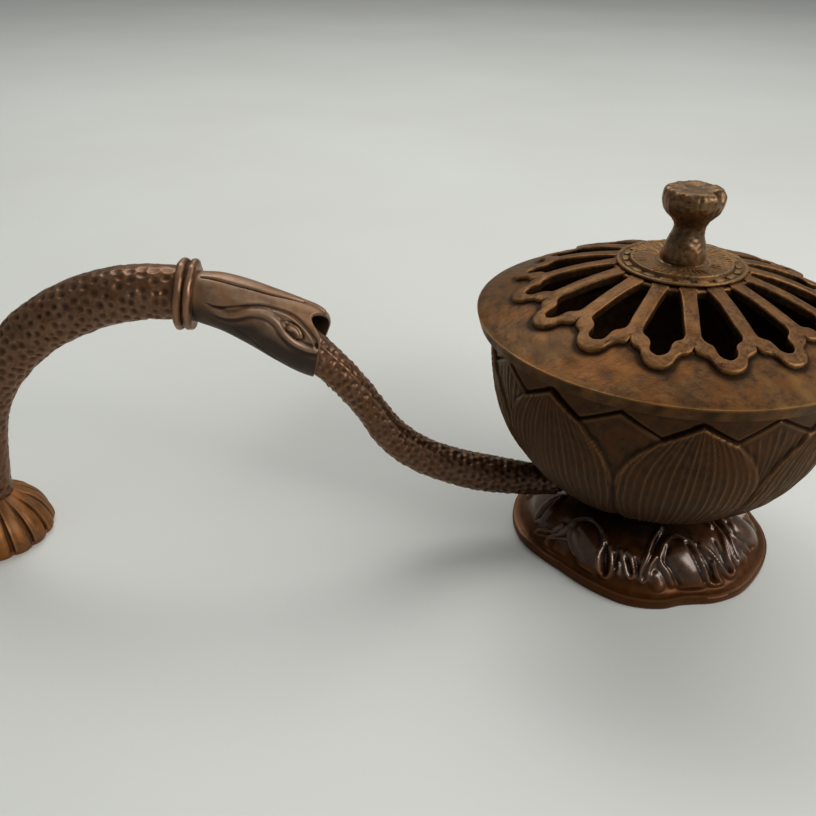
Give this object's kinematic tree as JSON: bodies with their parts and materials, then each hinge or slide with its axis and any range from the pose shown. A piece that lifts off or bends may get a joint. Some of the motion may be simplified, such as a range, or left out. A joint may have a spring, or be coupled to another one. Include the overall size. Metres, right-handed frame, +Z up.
{
  "type": "handled incense burner",
  "caption": "Incense burner: a lidded lotus bowl with a pierced flower lid and knob, a leaf foot, and a long swan-necked handle on its own small foot.",
  "frame": {"origin": "on the table plane, under the middle of the whole length", "axes": "+Z up; +X along the object from the rear foot of the handle towards the bowl; +Y across it"},
  "size_m": [0.3048, 0.12, 0.122],
  "materials": {
    "foot_bronze": "dark red-brown patina, glossy",
    "dark_bronze": "nearly black patina in the recesses, satin",
    "fastener_brass": "plain turned brass, lightly tarnished",
    "bowl_bronze": "very dark brown patina, satin",
    "stem_bronze": "mid brown patina with dark pits, satin",
    "sheath_bronze": "mid brown patina with paler worn ridges, satin",
    "rear_foot_bronze": "warm golden brown patina, satin",
    "lid_bronze": "mottled brown patina with orange-brown patches, satin",
    "rib_bronze": "worn pinkish-brown patina, satin",
    "knob_bronze": "brown patina with worn edges, satin"
  },
  "bodies": {
    "censer": {"foot_leaf": "foot_bronze", "pedestal_neck": "dark_bronze", "handle_tang": "dark_bronze", "base_bolt": "fastener_brass", "base_washer": "fastener_brass", "base_nut": "fastener_brass", "bowl": "bowl_bronze", "stem_lower": "stem_bronze", "leaf_sheath": "sheath_bronze", "collar": "sheath_bronze", "stem_upper": "stem_bronze", "rear_foot": "rear_foot_bronze", "foot_rivet": "fastener_brass"},
    "lid": {"lid_brim": "lid_bronze", "locating_ring": "lid_bronze", "rosette_grille": "rib_bronze", "rosette_disc": "rib_bronze", "stamen_ring": "dark_bronze", "knob": "knob_bronze", "knob_stud": "fastener_brass", "knob_washer": "fastener_brass", "knob_nut": "fastener_brass"}
  },
  "joints": [
    {"name": "lid_lift", "type": "slide", "parent": "censer", "child": "lid", "axis": [0, 0, 1], "range_m": [0, 0.12]}
  ]
}
